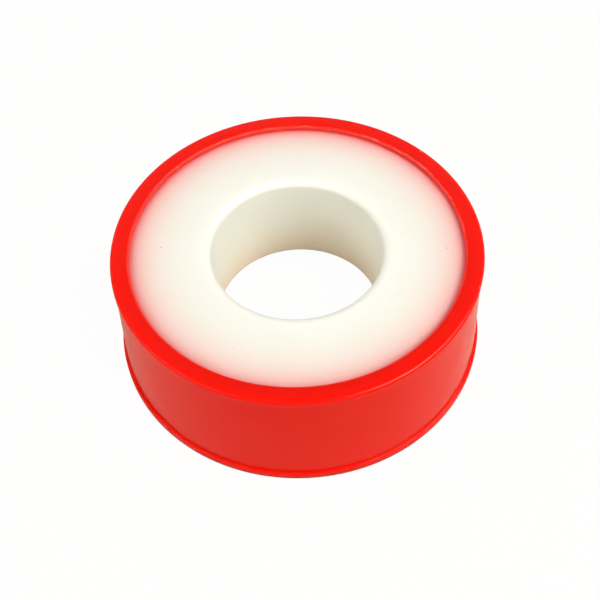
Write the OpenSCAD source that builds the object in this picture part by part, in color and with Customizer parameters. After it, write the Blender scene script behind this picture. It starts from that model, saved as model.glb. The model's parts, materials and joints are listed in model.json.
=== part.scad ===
// Roll of thread seal tape: film wound on a white spool, closed in by a red snap-on cover.
// The roll stands on the cover's open end, with the bore along Z. Millimetres and degrees.

/* [Tape] */
// Width of the film
tape_w = 12; // [6:0.5:25]
// Length of film on a full roll
tape_len = 10000; // [4000:500:15000]
// Thickness of the film
film_t = 0.075; // [0.05:0.005:0.15]

/* [Spool] */
// Diameter of the bore
bore_d = 21; // [14:0.5:26]
// Wall of the hub between the bore and the film
hub_wall = 1.2; // [0.8:0.1:2.5]
// Thickness of each flange at its edge
flange_t = 0.6; // [0.4:0.1:1.5]
// Rise of each flange's outer face from its edge to the bore
flange_rise = 0.2; // [0:0.1:0.4]
// Reach of the flanges past the wound film
flange_past_tape = 1.54; // [0.5:0.01:3]
// Radius of the rounded mouth at each end of the bore
mouth_r = 0.9; // [0.3:0.1:1.2]

/* [Cover] */
// Thickness of the cover's wall
wall_t = 1; // [0.6:0.1:2]
// Draft of the wall, which widens towards the open end
wall_draft = 2.7; // [0.5:0.1:4]
// Thickness of the lip that holds the front flange in
lip_t = 0.55; // [0.4:0.05:1.5]
// Reach of the lip over the flange
lip_reach = 0.7; // [0.3:0.05:2]
// Height of the raised band round the top edge
band_h = 0.95; // [0.6:0.05:2]
// Projection of that band from the wall
band_out = 0.2; // [0.1:0.05:0.6]
// Radius of the band's rounded top edge
band_round = 0.4; // [0.1:0.05:0.5]
// Height of the rim round the open end
rim_h = 1; // [0.5:0.05:2]
// Projection of that rim from the wall
rim_out = 0.35; // [0.2:0.05:1.5]
// Radius of the rim's rounded upper edge
rim_round = 0.25; // [0.05:0.05:0.3]
// Reach of the open end past the edge of the rear flange
skirt = 1.6; // [1.3:0.1:4]
// Height of the snap bead at the wall
bead_h = 1; // [0.5:0.1:1.2]
// Width of the flat land along the bead's crest
bead_land = 0.3; // [0.1:0.05:0.4]

/* [Fits] */
// Radial play of the wound film on the hub
tape_play = 0.05; // [0.02:0.01:0.1]
// Play between the film's edges and each flange
tape_side_play = 0.1; // [0.05:0.05:0.5]
// Gap between the flanges' edges and the cover's wall under the lip
flange_gap = 0.35; // [0.2:0.05:1]
// Gap between the front flange and the lip
lip_gap = 0.15; // [0.1:0.05:0.5]
// Gap between the flanges' edges and the crest of the snap bead
bead_gap = 0.1; // [0.05:0.05:0.3]

/* [Hidden] */
$fn = 128;

// Radii, from the bore outwards
bore_r = bore_d / 2;
hub_r = bore_r + hub_wall;
tape_in_r = hub_r + tape_play;
tape_r = sqrt(tape_in_r * tape_in_r + tape_len * film_t / PI);
flange_r = tape_r + flange_past_tape;
lip_r = flange_r - lip_reach;
cover_in_r = flange_r + flange_gap;

// Heights, from the cover's open end upwards
rear_edge_z = skirt;
rear_mouth_z = rear_edge_z - flange_rise;
wind_z = rear_edge_z + flange_t;
tape_z = wind_z + tape_side_play;
wind_top_z = tape_z + tape_w + tape_side_play;
front_edge_z = wind_top_z + flange_t;
front_mouth_z = front_edge_z + flange_rise;
lip_z = front_edge_z + lip_gap;
cover_h = lip_z + lip_t;
band_z = cover_h - band_h;
bead_z = rear_edge_z / 2;

// Radius of the cover's inner and outer wall at a height
function wall_in(z) = cover_in_r + (lip_z - z) * tan(wall_draft);
function wall_out(z) = wall_in(z) + wall_t;
band_r = wall_out(band_z) + band_out;
rim_r = wall_out(rim_h) + rim_out;

// Points of a rounded corner in a turned profile
arc_steps = 8;
function arc(centre, r, from, to) = [
    for (i = [0 : arc_steps])
        let (a = from + (to - from) * i / arc_steps)
        centre + r * [cos(a), sin(a)]
];

// Outer lap of the winding: one turn that climbs by one thickness of film
lap_steps = 120;
function lap_r(turn) = tape_r + film_t * (turn - 0.5);
lap_points = [
    for (i = [0 : lap_steps])
        let (turn = i / lap_steps)
        lap_r(turn) * [cos(360 * turn), sin(360 * turn)]
];

// Red shell: lip at the top, drafted wall, rim and snap bead at the open end
module cover() {
    color("#e6281b")
        rotate_extrude()
            polygon(concat(
                [
                    [wall_in(0), 0],
                    [wall_in(bead_z - bead_h / 2), bead_z - bead_h / 2],
                    [flange_r + bead_gap, bead_z - bead_land / 2],
                    [flange_r + bead_gap, bead_z + bead_land / 2],
                    [wall_in(bead_z + bead_h / 2), bead_z + bead_h / 2],
                    [wall_in(lip_z), lip_z],
                    [lip_r, lip_z],
                    [lip_r, cover_h]
                ],
                arc([band_r - band_round, cover_h - band_round], band_round, 90, 0),
                [
                    [band_r, band_z],
                    [wall_out(band_z), band_z],
                    [wall_out(rim_h), rim_h]
                ],
                arc([rim_r - rim_round, rim_h - rim_round], rim_round, 90, 0),
                [[rim_r, 0]]
            ));
}

// White spool: hub and two flanges in one piece, with a rounded bore
module spool() {
    color("#f6f2e4")
        rotate_extrude()
            polygon(concat(
                arc([bore_r + mouth_r, rear_mouth_z + mouth_r], mouth_r, 270, 180),
                arc([bore_r + mouth_r, front_mouth_z - mouth_r], mouth_r, 180, 90),
                [
                    [flange_r, front_edge_z],
                    [flange_r, wind_top_z],
                    [hub_r, wind_top_z],
                    [hub_r, wind_z],
                    [flange_r, wind_z],
                    [flange_r, rear_edge_z]
                ]
            ));
}

// Wound film: a close pack whose outer lap ends in a step one film thick
module tape() {
    color("#fbfaf6")
        translate([0, 0, tape_z])
            difference() {
                linear_extrude(tape_w)
                    polygon(lap_points);
                translate([0, 0, -tape_w / 2])
                    cylinder(r = tape_in_r, h = 2 * tape_w);
            }
}

cover();
spool();
tape();
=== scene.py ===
"""Thread seal tape roll: a red cover, a white spool and the film wound on it.

Laid out as a Blender add-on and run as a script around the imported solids, which give the pieces
their sizes and places. Lengths are in metres.
"""

import json
import math

import bmesh
import bpy
from mathutils import Matrix, Vector, noise


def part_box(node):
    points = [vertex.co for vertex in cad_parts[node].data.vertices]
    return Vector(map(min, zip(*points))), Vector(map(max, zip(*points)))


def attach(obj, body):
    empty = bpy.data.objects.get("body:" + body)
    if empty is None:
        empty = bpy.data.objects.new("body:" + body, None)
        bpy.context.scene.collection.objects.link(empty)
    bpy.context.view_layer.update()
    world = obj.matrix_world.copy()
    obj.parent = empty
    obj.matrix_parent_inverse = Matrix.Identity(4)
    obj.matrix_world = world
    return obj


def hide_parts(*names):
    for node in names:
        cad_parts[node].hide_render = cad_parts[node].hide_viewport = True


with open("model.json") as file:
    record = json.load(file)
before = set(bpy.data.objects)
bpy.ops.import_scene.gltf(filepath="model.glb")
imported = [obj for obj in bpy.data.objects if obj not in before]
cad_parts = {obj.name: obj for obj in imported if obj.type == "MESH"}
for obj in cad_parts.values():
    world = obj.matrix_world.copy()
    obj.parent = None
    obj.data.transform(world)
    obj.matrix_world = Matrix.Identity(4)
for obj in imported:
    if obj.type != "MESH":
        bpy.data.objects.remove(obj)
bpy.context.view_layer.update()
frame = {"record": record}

bl_info = {
    "name": "Thread Seal Tape Roll",
    "version": (1, 0, 0),
    "blender": (4, 5, 0),
    "location": "3D View > Sidebar > Tape Roll",
    "description": "Makes a roll of thread seal tape with its cover, spool and wound film",
    "category": "Add Mesh",
}

MM = 0.001

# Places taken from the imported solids
COVER_LOW, COVER_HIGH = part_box("cover")
SPOOL_LOW, SPOOL_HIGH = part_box("spool")
TAPE_LOW, TAPE_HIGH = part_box("tape")
RIM_RADIUS = min(-COVER_LOW.x, COVER_HIGH.x)
BORE_RADIUS = next(m["dims"]["r_mm"] for m in frame["record"]["mounts"] if m["name"] == "bore") * MM

# Fineness of the meshes
COVER_STEPS = 480
SPOOL_STEPS = 320
TAPE_STEPS = 288
FILM_ROWS = 24
END_STEPS = 20
ROUND_SEGMENTS = 6
NEAR = 0.002 * MM

WHITE = (1.0, 1.0, 1.0, 1.0)

# Names of the mesh layers that the materials read
# Layer with the share of the paler colour painted as a highlight on the flash and the lip's inner rounding
FLASH_HIGHLIGHT_LAYER = "flash"
WINDING = "winding"


def linear(hex_code):
    """Linear RGB of an sRGB hex colour."""
    shares = [int(hex_code[i : i + 2], 16) / 255 for i in (1, 3, 5)]
    return tuple(c / 12.92 if c <= 0.04045 else ((c + 0.055) / 1.055) ** 2.4 for c in shares)


def length(name, default, description):
    """A length that the user can set."""
    return bpy.props.FloatProperty(
        name=name, description=description, default=default, min=0.0, unit="LENGTH", precision=5
    )


def colour(name, hex_code, description):
    """A colour that the user can set."""
    return bpy.props.FloatVectorProperty(
        name=name,
        description=description,
        default=linear(hex_code),
        size=3,
        min=0.0,
        max=1.0,
        subtype="COLOR",
    )


def angle(name, degrees, description):
    """An angle that the user can set."""
    return bpy.props.FloatProperty(
        name=name, description=description, default=math.radians(degrees), subtype="ANGLE"
    )


def power(name, watts, description):
    """A lamp's power that the user can set."""
    return bpy.props.FloatProperty(
        name=name, description=description, default=watts, min=0.0, unit="POWER"
    )


class CoverSettings(bpy.types.PropertyGroup):
    """Sizes and colour of the red cover"""

    rim_radius: length("Rim radius", RIM_RADIUS, "Radius of the rim round the open end")
    height: length("Height", COVER_HIGH.z, "From the open end to the top of the lip")
    wall: length("Wall", 1.0 * MM, "Thickness of the wall")
    draft: angle("Draft", 2.7, "Slope of the wall, which widens towards the open end")
    lip_thickness: length("Lip thickness", 0.55 * MM, "Thickness of the lip")
    lip_reach: length("Lip reach", 0.7 * MM, "Reach of the lip over the spool's flange")
    band_height: length("Band height", 0.95 * MM, "Height of the raised band round the top")
    band_step: length("Band step", 0.2 * MM, "Projection of the band from the wall")
    band_round: length("Band round", 0.4 * MM, "Rounding of the band's top edge")
    rim_height: length("Rim height", 1.0 * MM, "Height of the rim")
    rim_step: length("Rim step", 0.35 * MM, "Projection of the rim from the wall")
    rim_round: length("Rim round", 0.25 * MM, "Rounding of the rim's upper edge")
    bead_gap: length("Bead gap", 0.1 * MM, "Gap from the snap bead's crest to the flange's edge")
    bead_height: length("Bead height", 1.0 * MM, "Height of the snap bead at the wall")
    bead_land: length("Bead land", 0.3 * MM, "Height of the flat along the bead's crest")
    lip_round: length("Lip round", 0.3 * MM, "Rounding of the lip's inner edge")
    flash_height: length("Flash height", 0.08 * MM, "Height of the moulding flash on that edge")
    edge_round: length("Edge round", 0.06 * MM, "Rounding of the sharp moulded edges")
    red: colour("Red", "#fb1409", "Colour of the red plastic")
    # Painted highlight: the paler colour painted on the flash and the lip's inner rounding
    flash: colour("Flash", "#ff8f7d", "Colour of the thin flash, which lets more light through")
    dust: colour("Dust", "#ffd9cc", "Colour of the dust specks on the red plastic")


class SpoolSettings(bpy.types.PropertyGroup):
    """Sizes and colours of the white spool"""

    flange_radius: length("Flange radius", SPOOL_HIGH.x, "Outer radius of the flanges")
    bore_radius: length("Bore radius", BORE_RADIUS, "Radius of the bore")
    hub_wall: length("Hub wall", 1.2 * MM, "Wall of the hub between the bore and the film")
    flange_thickness: length("Flange thickness", 0.6 * MM, "Thickness of a flange at its edge")
    flange_rise: length("Flange rise", 0.2 * MM, "Rise of a flange's face from its edge to the bore")
    mouth_depth: length("Mouth depth", 0.9 * MM, "Depth of the rounding at each end of the bore")
    mouth_width: length("Mouth width", 1.2 * MM, "Width of that rounding over the flange")
    edge_round: length("Edge round", 0.12 * MM, "Rounding of the flanges' edges")
    white: colour("White", "#fdf9ea", "Colour of the white plastic")
    # Painted red glow: red light from the cover, painted into the front flange's colour next to the lip
    painted_red_glow: colour("Blush", "#fb1f3c", "Red that shows through the front flange next to the lip")
    painted_glow_reach: length("Blush reach", 2.9 * MM, "Distance from the lip in which the blush fades")
    painted_glow_edge: length("Blush edge", 0.6 * MM, "Distance in which its stronger part fades")
    painted_glow_shift: length("Blush shift", 0.08 * MM, "How far off centre the blush lies")
    # Painted shade: a warmer, darker white painted down the bore towards its lower end
    painted_bore_shade: colour("Deep", "#f3dcc0", "Warmer white towards the lower end of the bore")
    fleck: colour("Fleck", "#a39e88", "Colour of the dark flecks in the white plastic")


class TapeSettings(bpy.types.PropertyGroup):
    """Sizes and colour of the wound film"""

    inner_radius: length("Inner radius", BORE_RADIUS + 1.25 * MM, "Radius of the winding's first lap")
    outer_radius: length("Outer radius", TAPE_HIGH.x, "Radius of the winding's last lap")
    film: length("Film", 0.075 * MM, "Thickness of the film")
    pucker: length("Pucker", 0.03 * MM, "Height of the soft waves in the outer lap")
    end_angle: angle("End angle", -72, "Where the film's loose end leaves the roll")
    end_sweep: angle("End sweep", 24, "Length of the loose end round the roll")
    end_lift: length("End lift", 0.5 * MM, "How far the tip of the loose end stands off the roll")
    white: colour("White", "#f6f6f4", "Colour of the film")


class StageSettings(bpy.types.PropertyGroup):
    """Floor, light and camera"""

    floor: colour("Floor", "#bfb9ae", "Colour of the floor in the light that it gives back")
    floor_shine: colour("Floor shine", "#ffe9d2", "Colour of the floor as gloss shows it")
    ceiling: bpy.props.FloatProperty(
        name="Ceiling",
        description="Brightness of the ceiling as gloss shows it",
        default=0.4,
        min=0.0,
        max=1.0,
        subtype="FACTOR",
    )
    ambient: bpy.props.FloatProperty(
        name="Ambient", description="Light from all round", default=0.33, min=0.0, subtype="FACTOR"
    )
    lamp_distance: length("Lamp distance", 0.62, "From the middle of the floor to each lamp")
    key_power: power("Key power", 3.3, "Power of the key lamp")
    key_width: length("Key width", 0.5, "Width of the key lamp")
    key_depth: length("Key depth", 0.4, "Depth of the key lamp")
    key_azimuth: angle("Key azimuth", -30, "Direction of the key lamp, round from +X towards +Y")
    key_height: angle("Key height", 48, "Angle of the key lamp above the floor")
    fill_power: power("Fill power", 1.85, "Power of the fill lamp")
    fill_width: length("Fill width", 0.5, "Width of the fill lamp")
    fill_depth: length("Fill depth", 0.5, "Depth of the fill lamp")
    fill_azimuth: angle("Fill azimuth", -160, "Direction of the fill lamp, round from +X towards +Y")
    fill_height: angle("Fill height", 38, "Angle of the fill lamp above the floor")
    strip_power: power("Strip power", 5.0, "Power of the strip lamp, which shows only in gloss")
    strip_width: length("Strip width", 0.58, "Width of the strip lamp")
    strip_depth: length("Strip depth", 0.3, "Depth of the strip lamp")
    strip_azimuth: angle("Strip azimuth", -14, "Direction of the strip lamp, round from +X towards +Y")
    strip_height: angle("Strip height", 50, "Angle of the strip lamp above the floor")
    lens: bpy.props.FloatProperty(
        name="Lens", description="Focal length on a 36 mm sensor", default=60.0, unit="CAMERA"
    )
    camera_place: bpy.props.FloatVectorProperty(
        name="Camera place",
        description="Where the camera stands",
        default=(0.0, -78.21 * MM, 107.56 * MM),
        subtype="TRANSLATION",
        precision=5,
    )
    camera_aim: bpy.props.FloatVectorProperty(
        name="Camera aim",
        description="The point in the middle of the picture",
        default=(0.12 * MM, -0.93 * MM, 5.59 * MM),
        subtype="TRANSLATION",
        precision=5,
    )
    camera_roll: angle("Camera roll", -2.44, "Turn of the camera about its line of sight")


def ring_edges(bm, radius, height):
    """Edges of a turned shape that run round Z at one radius and height."""

    def on_ring(vert):
        return abs(vert.co.xy.length - radius) < NEAR and abs(vert.co.z - height) < NEAR

    return [edge for edge in bm.edges if all(on_ring(vert) for vert in edge.verts)]


def turn_outline(corners, steps):
    """Spin a closed outline of (radius, height, rounding) corners about Z and round its edges."""
    bm = bmesh.new()
    verts = [bm.verts.new((radius, 0.0, height)) for radius, height, _ in corners]
    edges = [bm.edges.new(pair) for pair in zip(verts, verts[1:] + verts[:1])]
    bmesh.ops.spin(
        bm,
        geom=verts + edges,
        cent=(0, 0, 0),
        dvec=(0, 0, 0),
        axis=(0, 0, 1),
        angle=math.tau,
        steps=steps,
        use_merge=True,
    )
    bmesh.ops.remove_doubles(bm, verts=bm.verts, dist=NEAR)
    bmesh.ops.recalc_face_normals(bm, faces=bm.faces)
    for radius, height, rounding in corners:
        if rounding:
            bmesh.ops.bevel(
                bm,
                geom=ring_edges(bm, radius, height),
                offset=rounding,
                offset_type="OFFSET",
                segments=ROUND_SEGMENTS,
                profile=0.5,
                affect="EDGES",
                material=-1,
            )
    return bm


def finish_piece(bm, name, material):
    """Object at the origin from a finished bmesh, smooth shaded with its flat faces kept flat."""
    for face in bm.faces:
        face.smooth = True
    mesh = bpy.data.meshes.new(name)
    bm.to_mesh(mesh)
    bm.free()
    piece = bpy.data.objects.new(name, mesh)
    piece.data.materials.append(material)
    bpy.context.scene.collection.objects.link(piece)
    normals = piece.modifiers.new("Flat faces", "WEIGHTED_NORMAL")
    normals.weight = 50
    normals.keep_sharp = False
    return piece


def add_node(tree, kind, inputs=None, **settings):
    """Add a node with its settings; each input gets a value, or a link if it is given a socket."""
    node = tree.nodes.new(kind)
    for name, value in settings.items():
        setattr(node, name, value)
    for key, value in (inputs or {}).items():
        if isinstance(value, bpy.types.NodeSocket):
            tree.links.new(value, node.inputs[key])
        else:
            node.inputs[key].default_value = value
    return node


def new_material(name):
    """Empty material and its output node."""
    material = bpy.data.materials.new(name)
    material.use_nodes = True
    material.node_tree.nodes.clear()
    return material, add_node(material.node_tree, "ShaderNodeOutputMaterial")


def rgba(rgb):
    """RGB as the four numbers that a colour socket takes."""
    return (*rgb, 1.0)


def shade(rgb, share):
    """A darker or lighter copy of a colour."""
    return tuple(min(c * share, 1.0) for c in rgb)


def specks(tree, place, spacing, size, share):
    """Factor of scattered specks: a share of points about a spacing apart, each up to a size across."""
    cells = add_node(tree, "ShaderNodeTexVoronoi", {"Vector": place, "Scale": 1 / spacing}).outputs
    near = add_node(
        tree,
        "ShaderNodeMapRange",
        {"Value": cells["Distance"], "From Min": size / 2 / spacing, "From Max": 0.0},
    )
    chance = add_node(tree, "ShaderNodeSeparateColor", {"Color": cells["Color"]})
    kept = add_node(tree, "ShaderNodeMath", {0: chance.outputs["Red"], 1: share}, operation="LESS_THAN")
    both = add_node(
        tree, "ShaderNodeMath", {0: near.outputs["Result"], 1: kept.outputs[0]}, operation="MULTIPLY"
    )
    return both.outputs[0]


def moulded_red_polyethylene(settings):
    """Red polyethylene, injection moulded: satin, even, and clear enough to glow at its thin lip, where a
    paler colour is painted on the flash as a highlight.
    """
    flow = 6.0 * MM
    grain = 0.35 * MM
    grain_depth = 0.002 * MM
    dust_spacing = 1.5 * MM
    dust_size = 0.22 * MM
    dust_share = 0.05
    darker, lighter = 0.94, 1.02
    smoothest, roughest = 0.13, 0.18
    material, output = new_material("moulded red polyethylene")
    tree = material.node_tree
    place = add_node(tree, "ShaderNodeTexCoord").outputs["Object"]
    clouds = add_node(tree, "ShaderNodeTexNoise", {"Vector": place, "Scale": 1 / flow, "Detail": 3.0})
    fine = add_node(tree, "ShaderNodeTexNoise", {"Vector": place, "Scale": 1 / grain, "Detail": 2.0})
    tint = add_node(
        tree,
        "ShaderNodeMix",
        {
            "Factor": clouds.outputs["Fac"],
            6: rgba(shade(settings.red, darker)),
            7: rgba(shade(settings.red, lighter)),
        },
        data_type="RGBA",
    )
    # Painted highlight: paler colour on the flash and, a little, on the whole inner rounding of the lip
    thin = add_node(tree, "ShaderNodeAttribute", attribute_name=FLASH_HIGHLIGHT_LAYER)
    highlighted = add_node(
        tree,
        "ShaderNodeMix",
        {"Factor": thin.outputs["Fac"], 6: tint.outputs[2], 7: rgba(settings.flash)},
        data_type="RGBA",
    )
    dusty = add_node(
        tree,
        "ShaderNodeMix",
        {
            "Factor": specks(tree, place, dust_spacing, dust_size, dust_share),
            6: highlighted.outputs[2],
            7: rgba(settings.dust),
        },
        data_type="RGBA",
    )
    gloss = add_node(
        tree,
        "ShaderNodeMapRange",
        {"Value": fine.outputs["Fac"], "To Min": smoothest, "To Max": roughest},
    )
    bump = add_node(
        tree, "ShaderNodeBump", {"Height": fine.outputs["Fac"], "Strength": 0.5, "Distance": grain_depth}
    )
    shader = add_node(
        tree,
        "ShaderNodeBsdfPrincipled",
        {
            "Base Color": dusty.outputs[2],
            "Roughness": gloss.outputs["Result"],
            "Normal": bump.outputs["Normal"],
            "IOR": 1.5,
            "Specular IOR Level": 0.12,
            "Specular Tint": (1.0, 0.85, 0.62, 1.0),
            "Subsurface Weight": 1.0,
            "Subsurface Radius": (1.0, 0.15, 0.08),
            "Subsurface Scale": 1.5 * MM,
        },
    )
    tree.links.new(shader.outputs["BSDF"], output.inputs["Surface"])
    return material


def moulded_white_polyethylene(settings, lip_radius):
    """Undyed polyethylene, injection moulded: milky, so light wanders in it, with a few dark flecks, and
    with a red glow next to the cover's lip and shade down the bore painted into its colour.
    """
    flow = 5.0 * MM
    grain = 0.4 * MM
    grain_depth = 0.004 * MM
    glow_share, glow_edge_share = 0.6, 0.22
    fleck_spacing = 1.5 * MM
    fleck_size = 0.26 * MM
    fleck_share = 0.06
    darker = 0.97
    smoothest, roughest = 0.36, 0.5
    bore_shade_power = 3.0
    material, output = new_material("moulded white polyethylene")
    tree = material.node_tree
    place = add_node(tree, "ShaderNodeTexCoord").outputs["Object"]
    clouds = add_node(tree, "ShaderNodeTexNoise", {"Vector": place, "Scale": 1 / flow, "Detail": 3.0})
    fine = add_node(tree, "ShaderNodeTexNoise", {"Vector": place, "Scale": 1 / grain, "Detail": 2.0})
    tint = add_node(
        tree,
        "ShaderNodeMix",
        {
            "Factor": clouds.outputs["Fac"],
            6: rgba(shade(settings.white, darker)),
            7: rgba(settings.white),
        },
        data_type="RGBA",
    )
    flat = add_node(tree, "ShaderNodeVectorMath", {0: place, 1: (1.0, 1.0, 0.0)}, operation="MULTIPLY")
    radius = add_node(tree, "ShaderNodeVectorMath", {0: flat.outputs[0]}, operation="LENGTH")
    # The painted red glow is centred a little off the axis, so it lies stronger on one side
    shifted = add_node(
        tree,
        "ShaderNodeVectorMath",
        {0: flat.outputs[0], 1: (0.0, settings.painted_glow_shift, 0.0)},
        operation="ADD",
    )
    outwards = add_node(tree, "ShaderNodeVectorMath", {0: shifted.outputs[0]}, operation="LENGTH")
    # Painted red glow: a wide and a steep fade from the lip, painted where the front flange's face lies
    # bare
    fades = []
    for share, reach in ((glow_share, settings.painted_glow_reach), (glow_edge_share, settings.painted_glow_edge)):
        inwards = add_node(
            tree,
            "ShaderNodeMath",
            {0: outwards.outputs["Value"], 1: 1 / reach, 2: math.log(share) - lip_radius / reach},
            operation="MULTIPLY_ADD",
        )
        fade = add_node(tree, "ShaderNodeMath", {0: inwards.outputs[0]}, operation="EXPONENT")
        fades.append(fade.outputs[0])
    strength = add_node(tree, "ShaderNodeMath", {0: fades[0], 1: fades[1]}, operation="ADD", use_clamp=True)
    height = add_node(tree, "ShaderNodeSeparateXYZ", {"Vector": place})
    face_height = SPOOL_HIGH.z - settings.flange_rise
    front = add_node(
        tree,
        "ShaderNodeMapRange",
        {
            "Value": height.outputs["Z"],
            "From Min": face_height - settings.edge_round,
            "From Max": face_height,
        },
    )
    bared = add_node(
        tree,
        "ShaderNodeMapRange",
        {"Value": radius.outputs["Value"], "From Min": settings.flange_radius, "From Max": lip_radius},
    )
    shown = add_node(
        tree,
        "ShaderNodeMath",
        {0: front.outputs["Result"], 1: bared.outputs["Result"]},
        operation="MULTIPLY",
    )
    painted_red_glow = add_node(
        tree, "ShaderNodeMath", {0: strength.outputs[0], 1: shown.outputs[0]}, operation="MULTIPLY"
    )
    # Painted shade in the bore: warmer and darker towards its lower end, only on the bore's wall and
    # rounding
    depth = add_node(
        tree,
        "ShaderNodeMapRange",
        {"Value": height.outputs["Z"], "From Min": SPOOL_HIGH.z, "From Max": SPOOL_LOW.z},
    )
    inside = add_node(
        tree,
        "ShaderNodeMapRange",
        {
            "Value": radius.outputs["Value"],
            "From Min": settings.bore_radius + settings.mouth_depth,
            "From Max": settings.bore_radius,
        },
    )
    low = add_node(tree, "ShaderNodeMath", {0: depth.outputs["Result"], 1: bore_shade_power}, operation="POWER")
    painted_bore_shade = add_node(
        tree, "ShaderNodeMath", {0: low.outputs[0], 1: inside.outputs["Result"]}, operation="MULTIPLY"
    )
    bore_shaded = add_node(
        tree,
        "ShaderNodeMix",
        {"Factor": painted_bore_shade.outputs[0], 6: tint.outputs[2], 7: rgba(settings.painted_bore_shade)},
        data_type="RGBA",
    )
    # Mix in the painted red glow
    glow_painted = add_node(
        tree,
        "ShaderNodeMix",
        {"Factor": painted_red_glow.outputs[0], 6: bore_shaded.outputs[2], 7: rgba(settings.painted_red_glow)},
        data_type="RGBA",
    )
    flecked = add_node(
        tree,
        "ShaderNodeMix",
        {
            "Factor": specks(tree, place, fleck_spacing, fleck_size, fleck_share),
            6: glow_painted.outputs[2],
            7: rgba(settings.fleck),
        },
        data_type="RGBA",
    )
    gloss = add_node(
        tree,
        "ShaderNodeMapRange",
        {"Value": fine.outputs["Fac"], "To Min": smoothest, "To Max": roughest},
    )
    bump = add_node(
        tree, "ShaderNodeBump", {"Height": fine.outputs["Fac"], "Strength": 0.4, "Distance": grain_depth}
    )
    shader = add_node(
        tree,
        "ShaderNodeBsdfPrincipled",
        {
            "Base Color": flecked.outputs[2],
            "Roughness": gloss.outputs["Result"],
            "Normal": bump.outputs["Normal"],
            "IOR": 1.5,
            "Specular IOR Level": 0.25,
            "Subsurface Weight": 1.0,
            "Subsurface Radius": (1.0, 0.95, 0.85),
            "Subsurface Scale": 1.0 * MM,
        },
    )
    tree.links.new(shader.outputs["BSDF"], output.inputs["Surface"])
    return material


def stretched_ptfe_film(settings):
    """Stretched PTFE film: soft, dry and silky, with fine lines along its length."""
    # Drawn coarser than the real lines, so that they show
    line = 0.25 * MM
    line_length = 14.0 * MM
    line_depth = 0.02 * MM
    darker = 0.82
    material, output = new_material("stretched ptfe film")
    tree = material.node_tree
    place = add_node(tree, "ShaderNodeUVMap", uv_map=WINDING).outputs["UV"]
    along = add_node(
        tree, "ShaderNodeMapping", {"Vector": place, "Scale": (1 / line_length, 1 / line, 1.0)}
    )
    lines = add_node(
        tree,
        "ShaderNodeTexNoise",
        {"Vector": along.outputs["Vector"], "Scale": 1.0, "Detail": 4.0},
    )
    tint = add_node(
        tree,
        "ShaderNodeMix",
        {
            "Factor": lines.outputs["Fac"],
            6: rgba(shade(settings.white, darker)),
            7: rgba(settings.white),
        },
        data_type="RGBA",
    )
    bump = add_node(
        tree, "ShaderNodeBump", {"Height": lines.outputs["Fac"], "Strength": 0.6, "Distance": line_depth}
    )
    shader = add_node(
        tree,
        "ShaderNodeBsdfPrincipled",
        {
            "Base Color": tint.outputs[2],
            "Roughness": 0.5,
            "Normal": bump.outputs["Normal"],
            "IOR": 1.35,
            "Specular IOR Level": 0.35,
            "Sheen Weight": 0.1,
            "Subsurface Weight": 0.6,
            "Subsurface Radius": (1.0, 0.95, 0.9),
            "Subsurface Scale": 0.06 * MM,
        },
    )
    tree.links.new(shader.outputs["BSDF"], output.inputs["Surface"])
    return material


def flash_shape(turn):
    """Height of the ragged flash round the lip, from 0 to 1 and worst at the far right, and its stray."""
    worst = math.radians(55)
    spread = math.radians(50)
    least = 0.25
    coarse, fine, wander = 7.0, 29.0, 17.0
    coarse_height, fine_height = 1.2, 1.1
    away = (turn - worst + math.pi) % math.tau - math.pi
    worn = least + (1 - least) * math.exp(-((away / spread) ** 2))
    spot = Vector((math.cos(turn), math.sin(turn), 0.0))
    ragged = 0.5 + coarse_height * noise.noise(spot * coarse) + fine_height * noise.noise(spot * fine)
    return worn * min(max(ragged, 0.0), 1.0), noise.noise(spot * wander)


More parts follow.
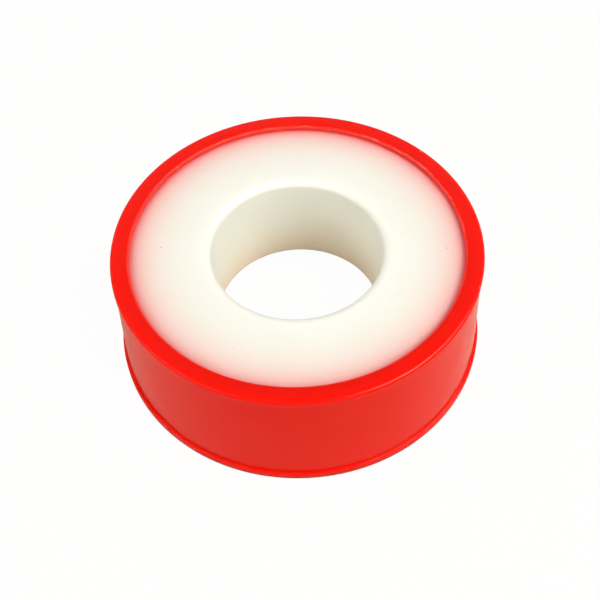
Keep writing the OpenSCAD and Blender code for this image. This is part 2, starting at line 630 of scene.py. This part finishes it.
class MakeCover(bpy.types.Operator):
    """Make the red cover with its lip, band, rim and snap bead"""

    bl_idname = "tape_roll.make_cover"
    bl_label = "Cover"

    def execute(self, context):
        s = context.scene.tape_roll.cover
        slope = math.tan(s.draft)
        flange_radius = context.scene.tape_roll.spool.flange_radius
        rim_wall = s.rim_radius - s.rim_step

        def wall_out(height):
            return rim_wall + (s.rim_height - height) * slope

        def wall_in(height):
            return wall_out(height) - s.wall

        lip_under = s.height - s.lip_thickness
        lip_radius = flange_radius - s.lip_reach
        band_under = s.height - s.band_height
        band_radius = wall_out(band_under) + s.band_step
        bead_radius = flange_radius + s.bead_gap
        bead_middle = (SPOOL_LOW.z + context.scene.tape_roll.spool.flange_rise) / 2
        bead_low = bead_middle - s.bead_height / 2
        bead_high = bead_middle + s.bead_height / 2
        edge = s.edge_round
        bm = turn_outline(
            [
                (wall_in(0), 0.0, edge),
                (wall_in(bead_low), bead_low, edge),
                (bead_radius, bead_middle - s.bead_land / 2, edge),
                (bead_radius, bead_middle + s.bead_land / 2, edge),
                (wall_in(bead_high), bead_high, edge),
                (wall_in(lip_under), lip_under, edge),
                (lip_radius, lip_under, edge),
                (lip_radius, s.height, s.lip_round),
                (band_radius, s.height, s.band_round),
                (band_radius, band_under, edge),
                (wall_out(band_under), band_under, edge),
                (wall_out(s.rim_height), s.rim_height, edge),
                (s.rim_radius, s.rim_height, s.rim_round),
                (s.rim_radius, 0.0, edge),
            ],
            COVER_STEPS,
        )
        self.raise_flash(bm, s, lip_radius + s.lip_round, s.height - s.lip_round)
        piece = finish_piece(bm, "cover_shell", moulded_red_polyethylene(s))
        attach(piece, "cover")
        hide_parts("cover")
        return {"FINISHED"}

    def raise_flash(self, bm, s, radius, height):
        """Ragged ridge along the middle of the lip's rounded inner edge, marked for the paler colour
        painted on it as a highlight.
        """
        crest_angle = math.radians(45)
        crest_spread = math.radians(24)
        stray_angle = math.radians(40)
        rounding_highlight_share = 0.18
        layer = bm.verts.layers.float.new(FLASH_HIGHLIGHT_LAYER)
        for vert in bm.verts:
            inwards = radius - vert.co.xy.length
            upwards = vert.co.z - height
            if inwards < NEAR:
                continue
            tall, stray = flash_shape(math.atan2(vert.co.y, vert.co.x))
            away = math.atan2(upwards, inwards) - crest_angle - stray * stray_angle
            share = tall * max(1 - abs(away) / crest_spread, 0.0)
            outwards = vert.co.xy.normalized()
            push = share * s.flash_height * math.sqrt(0.5)
            # The lip's top stays flat, because another roll stands on it
            rise = min(push, s.height - vert.co.z)
            vert.co += Vector((-outwards.x * push, -outwards.y * push, rise))
            # Share of the painted highlight: full on the flash, a little on the rest of the rounding
            vert[layer] = max(share, rounding_highlight_share * inwards / s.lip_round)


class MakeSpool(bpy.types.Operator):
    """Make the white spool with its hub, rounded bore and two flanges"""

    bl_idname = "tape_roll.make_spool"
    bl_label = "Spool"

    def execute(self, context):
        s = context.scene.tape_roll.spool
        hub_radius = s.bore_radius + s.hub_wall
        lip_radius = s.flange_radius - context.scene.tape_roll.cover.lip_reach
        low_edge = SPOOL_LOW.z + s.flange_rise
        high_edge = SPOOL_HIGH.z - s.flange_rise
        edge = s.edge_round
        bm = turn_outline(
            [
                (s.bore_radius, SPOOL_LOW.z, s.mouth_depth),
                (s.bore_radius, SPOOL_HIGH.z, s.mouth_depth),
                (s.flange_radius, high_edge, edge),
                (s.flange_radius, high_edge - s.flange_thickness, edge),
                (hub_radius, high_edge - s.flange_thickness, edge),
                (hub_radius, low_edge + s.flange_thickness, edge),
                (s.flange_radius, low_edge + s.flange_thickness, edge),
                (s.flange_radius, low_edge, edge),
            ],
            SPOOL_STEPS,
        )
        self.widen_mouths(bm, s)
        piece = finish_piece(bm, "spool_body", moulded_white_polyethylene(s, lip_radius))
        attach(piece, "spool")
        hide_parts("spool")
        return {"FINISHED"}

    def widen_mouths(self, bm, s):
        """Stretch the rounding at each end of the bore outwards over the flange."""
        for vert in bm.verts:
            radius = vert.co.xy.length
            beyond = radius - s.bore_radius
            if beyond < s.mouth_depth + NEAR:
                vert.co.xy *= (s.bore_radius + beyond * s.mouth_width / s.mouth_depth) / radius


class MakeTape(bpy.types.Operator):
    """Make the wound film, whose outer lap ends in a loose end"""

    bl_idname = "tape_roll.make_tape"
    bl_label = "Tape"

    def execute(self, context):
        s = context.scene.tape_roll.tape
        bm = bmesh.new()
        step = self.wind_laps(bm, s)
        self.pull_end(bm, s, step)
        self.pucker(bm, s)
        bmesh.ops.recalc_face_normals(bm, faces=bm.faces)
        piece = finish_piece(bm, "tape_wound", stretched_ptfe_film(s))
        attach(piece, "tape")
        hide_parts("tape")
        return {"FINISHED"}

    def wind_laps(self, bm, s):
        """Close pack whose outer lap climbs by one film; gives back the face of its step."""
        pack = s.outer_radius - s.film
        radii = (s.inner_radius, pack, s.outer_radius)
        outline = [(radius, TAPE_LOW.z) for radius in radii]
        outline += [(radius, TAPE_HIGH.z) for radius in reversed(radii)]
        verts = [bm.verts.new((radius, 0.0, height)) for radius, height in outline]
        edges = [bm.edges.new(pair) for pair in zip(verts, verts[1:] + verts[:1])]
        bmesh.ops.rotate(bm, verts=verts, cent=(0, 0, 0), matrix=Matrix.Rotation(s.end_angle, 3, "Z"))
        spun = bmesh.ops.spin(
            bm,
            geom=verts + edges,
            cent=(0, 0, 0),
            dvec=(0, 0, 0),
            axis=(0, 0, 1),
            angle=math.tau,
            steps=TAPE_STEPS,
        )
        last = [item for item in spun["geom_last"] if isinstance(item, bmesh.types.BMVert)]
        for vert in bm.verts:
            if vert.co.xy.length > pack + NEAR and vert not in last:
                turn = (math.atan2(vert.co.y, vert.co.x) - s.end_angle) % math.tau / math.tau
                turn = 0.0 if vert in verts else turn
                vert.co.xy = vert.co.xy.normalized() * (pack + s.film * turn)
        bmesh.ops.remove_doubles(bm, verts=bm.verts, dist=NEAR)
        self.map_winding(bm.faces, bm.loops.layers.uv.new(WINDING), s, 0.0)
        gap = [edge for edge in bm.edges if edge.is_boundary]
        return bmesh.ops.contextual_create(bm, geom=gap)["faces"][0]

    def pull_end(self, bm, s, step):
        """Loose end of the film: the step's face drawn on round the roll, lifting towards its tip."""
        slant = math.radians(2.5)
        low_lift = 0.55
        laps = set(bm.verts)
        wound = set(bm.faces)
        bmesh.ops.spin(
            bm,
            geom=[step, *step.edges, *step.verts],
            cent=(0, 0, 0),
            dvec=(0, 0, 0),
            axis=(0, 0, 1),
            angle=s.end_sweep,
            steps=END_STEPS,
        )
        drawn = [face for face in bm.faces if face not in wound]
        self.map_winding(drawn, bm.loops.layers.uv[WINDING], s, math.tau)
        for vert in bm.verts:
            if vert in laps:
                continue
            share = (math.atan2(vert.co.y, vert.co.x) - s.end_angle) % math.tau / s.end_sweep
            up = (vert.co.z - TAPE_LOW.z) / (TAPE_HIGH.z - TAPE_LOW.z)
            climb = s.film * share * s.end_sweep / math.tau
            lift = s.end_lift * share**2 * (low_lift + (1 - low_lift) * up)
            vert.co.xy *= 1 + (climb + lift) / vert.co.xy.length
            vert.co.rotate(Matrix.Rotation(slant * share * (up - 0.5), 3, "Z"))

    def pucker(self, bm, s):
        """Soft waves in the outer lap, and low ridges along it, in rows across the film."""
        wave = 3.5 * MM
        ridge = 0.9 * MM
        ridge_length = 9.0 * MM
        ridge_share = 0.5
        pack = s.outer_radius - s.film
        uprights = []
        for edge in bm.edges:
            foot, head = edge.verts
            if abs(foot.co.z - head.co.z) > NEAR and foot.co.xy.length > pack - NEAR:
                uprights.append(edge)
        bmesh.ops.subdivide_edges(bm, edges=uprights, cuts=FILM_ROWS - 1, use_grid_fill=True)
        for vert in bm.verts:
            radius = vert.co.xy.length
            if radius > pack - NEAR:
                along = Vector((vert.co.x / ridge_length, vert.co.y / ridge_length, vert.co.z / ridge))
                swell = noise.noise(vert.co / wave) + ridge_share * noise.noise(along)
                vert.co.xy *= 1 + s.pucker * swell / radius

    def map_winding(self, faces, layer, s, start):
        """UV map of the film: length along the winding from a starting angle, and height."""
        for face in faces:
            middle = face.calc_center_median()
            middle_turn = (math.atan2(middle.y, middle.x) - s.end_angle) % math.tau
            for loop in face.loops:
                place = loop.vert.co
                turn = math.atan2(place.y, place.x) - s.end_angle - middle_turn
                turn = (turn + math.pi) % math.tau - math.pi
                loop[layer].uv = ((start + middle_turn + turn) * s.outer_radius, place.z)


def seen_rays(tree, rays, gloss_share):
    """How white each ray sees the background: all white to the camera, by a share in gloss and glass."""
    mirrored = add_node(
        tree,
        "ShaderNodeMath",
        {0: rays["Is Glossy Ray"], 1: rays["Is Transmission Ray"]},
        operation="MAXIMUM",
    )
    dimmed = add_node(
        tree, "ShaderNodeMath", {0: mirrored.outputs[0], 1: gloss_share}, operation="MULTIPLY"
    )
    seen = add_node(
        tree,
        "ShaderNodeMath",
        {0: rays["Is Camera Ray"], 1: dimmed.outputs[0]},
        operation="MAXIMUM",
    )
    return seen.outputs[0]


class SetStage(bpy.types.Operator):
    """Set the floor, the light and the camera"""

    bl_idname = "tape_roll.set_stage"
    bl_label = "Stage"

    def execute(self, context):
        s = context.scene.tape_roll.stage
        context.scene.view_settings.view_transform = "Standard"
        self.lay_floor(context, s)
        self.light_world(context, s)
        for lamp in ("key", "fill", "strip"):
            self.hang_lamp(context, s, lamp)
        self.set_camera(context, s)
        return {"FINISHED"}

    def lay_floor(self, context, s):
        """A pale floor that the camera sees as white, with the roll's shadow on it."""
        half = 1.0
        white_share = 0.97
        gloss_share = 0.6
        bm = bmesh.new()
        bmesh.ops.create_grid(bm, x_segments=1, y_segments=1, size=half)
        mesh = bpy.data.meshes.new("floor")
        bm.to_mesh(mesh)
        bm.free()
        floor = bpy.data.objects.new("floor", mesh)
        context.scene.collection.objects.link(floor)
        material, output = new_material("pale studio floor")
        tree = material.node_tree
        rays = add_node(tree, "ShaderNodeLightPath").outputs
        share = add_node(
            tree, "ShaderNodeMath", {0: rays["Is Camera Ray"], 1: white_share}, operation="MULTIPLY"
        )
        paint = add_node(
            tree,
            "ShaderNodeMix",
            {"Factor": seen_rays(tree, rays, gloss_share), 6: rgba(s.floor), 7: rgba(s.floor_shine)},
            data_type="RGBA",
        )
        matt = add_node(tree, "ShaderNodeBsdfDiffuse", {"Color": paint.outputs[2]})
        glow = add_node(tree, "ShaderNodeEmission", {"Strength": 1.0})
        mix = add_node(
            tree,
            "ShaderNodeMixShader",
            {0: share.outputs[0], 1: matt.outputs["BSDF"], 2: glow.outputs["Emission"]},
        )
        tree.links.new(mix.outputs["Shader"], output.inputs["Surface"])
        mesh.materials.append(material)

    def light_world(self, context, s):
        """Soft light from all round; gloss shows a white backdrop under a dim ceiling."""
        backdrop_top = math.sin(math.radians(40))
        ceiling_from = math.sin(math.radians(62))
        world = bpy.data.worlds.new("studio")
        context.scene.world = world
        world.use_nodes = True
        tree = world.node_tree
        tree.nodes.clear()
        rays = add_node(tree, "ShaderNodeLightPath").outputs
        direction = add_node(tree, "ShaderNodeTexCoord").outputs["Generated"]
        upwards = add_node(tree, "ShaderNodeSeparateXYZ", {"Vector": direction}).outputs["Z"]
        room = add_node(
            tree,
            "ShaderNodeMapRange",
            {
                "Value": upwards,
                "From Min": backdrop_top,
                "From Max": ceiling_from,
                "To Min": 1.0,
                "To Max": s.ceiling,
            },
        )
        bright = add_node(
            tree,
            "ShaderNodeMath",
            {0: rays["Is Camera Ray"], 1: room.outputs["Result"]},
            operation="MAXIMUM",
        )
        soft = add_node(tree, "ShaderNodeBackground", {"Color": WHITE, "Strength": s.ambient})
        white = add_node(tree, "ShaderNodeBackground", {"Color": WHITE, "Strength": bright.outputs[0]})
        mix = add_node(
            tree,
            "ShaderNodeMixShader",
            {0: seen_rays(tree, rays, 1.0), 1: soft.outputs["Background"], 2: white.outputs["Background"]},
        )
        add_node(tree, "ShaderNodeOutputWorld", {"Surface": mix.outputs["Shader"]})

    def hang_lamp(self, context, s, kind):
        """A soft lamp that faces the roll with its width level; the strip shows only in gloss."""
        azimuth = getattr(s, f"{kind}_azimuth")
        height = getattr(s, f"{kind}_height")
        level = Vector((math.cos(azimuth), math.sin(azimuth), 0.0))
        outwards = level * math.cos(height) + Vector((0.0, 0.0, math.sin(height)))
        lamp = bpy.data.lights.new(f"{kind}_lamp", "AREA")
        lamp.shape = "RECTANGLE"
        lamp.size = getattr(s, f"{kind}_width")
        lamp.size_y = getattr(s, f"{kind}_depth")
        lamp.energy = getattr(s, f"{kind}_power")
        holder = bpy.data.objects.new(lamp.name, lamp)
        holder.location = outwards * s.lamp_distance
        holder.rotation_euler = (-outwards).to_track_quat("-Z", "Y").to_euler()
        holder.visible_diffuse = kind != "strip"
        context.scene.collection.objects.link(holder)

    def set_camera(self, context, s):
        """The camera of the photograph."""
        near, far = 5 * MM, 10.0
        data = bpy.data.cameras.new("camera")
        data.sensor_width = 36.0
        data.sensor_fit = "HORIZONTAL"
        data.lens = s.lens
        data.clip_start, data.clip_end = near, far
        camera = bpy.data.objects.new("camera", data)
        place = Vector(s.camera_place)
        sight = (Vector(s.camera_aim) - place).to_track_quat("-Z", "Y").to_matrix()
        level = sight @ Matrix.Rotation(s.camera_roll, 3, "Z")
        camera.location = place
        camera.rotation_euler = level.to_euler()
        context.scene.collection.objects.link(camera)
        context.scene.camera = camera


class TapeRollSettings(bpy.types.PropertyGroup):
    """All settings of the tape roll"""

    cover: bpy.props.PointerProperty(type=CoverSettings)
    spool: bpy.props.PointerProperty(type=SpoolSettings)
    tape: bpy.props.PointerProperty(type=TapeSettings)
    stage: bpy.props.PointerProperty(type=StageSettings)


GROUPS = (
    (MakeCover, "cover"),
    (MakeSpool, "spool"),
    (MakeTape, "tape"),
    (SetStage, "stage"),
)


class TapeRollPanel(bpy.types.Panel):
    """Settings of the tape roll, with a button for each piece and for the stage"""

    bl_idname = "VIEW3D_PT_tape_roll"
    bl_label = "Thread Seal Tape Roll"
    bl_space_type = "VIEW_3D"
    bl_region_type = "UI"
    bl_category = "Tape Roll"

    def draw(self, context):
        for maker, group in GROUPS:
            box = self.layout.box()
            box.operator(maker.bl_idname)
            settings = getattr(context.scene.tape_roll, group)
            for name in settings.__annotations__:
                box.prop(settings, name)


CLASSES = (
    CoverSettings,
    SpoolSettings,
    TapeSettings,
    StageSettings,
    TapeRollSettings,
    MakeCover,
    MakeSpool,
    MakeTape,
    SetStage,
    TapeRollPanel,
)


def register():
    """Add the classes and the roll's settings."""
    for cls in CLASSES:
        bpy.utils.register_class(cls)
    bpy.types.Scene.tape_roll = bpy.props.PointerProperty(type=TapeRollSettings)


def unregister():
    """Take the settings and the classes away again."""
    del bpy.types.Scene.tape_roll
    for cls in reversed(CLASSES):
        bpy.utils.unregister_class(cls)


def main():
    """Make the stage and the three pieces."""
    register()
    bpy.ops.tape_roll.set_stage()
    bpy.ops.tape_roll.make_cover()
    bpy.ops.tape_roll.make_spool()
    bpy.ops.tape_roll.make_tape()


if __name__ == "__main__":
    main()
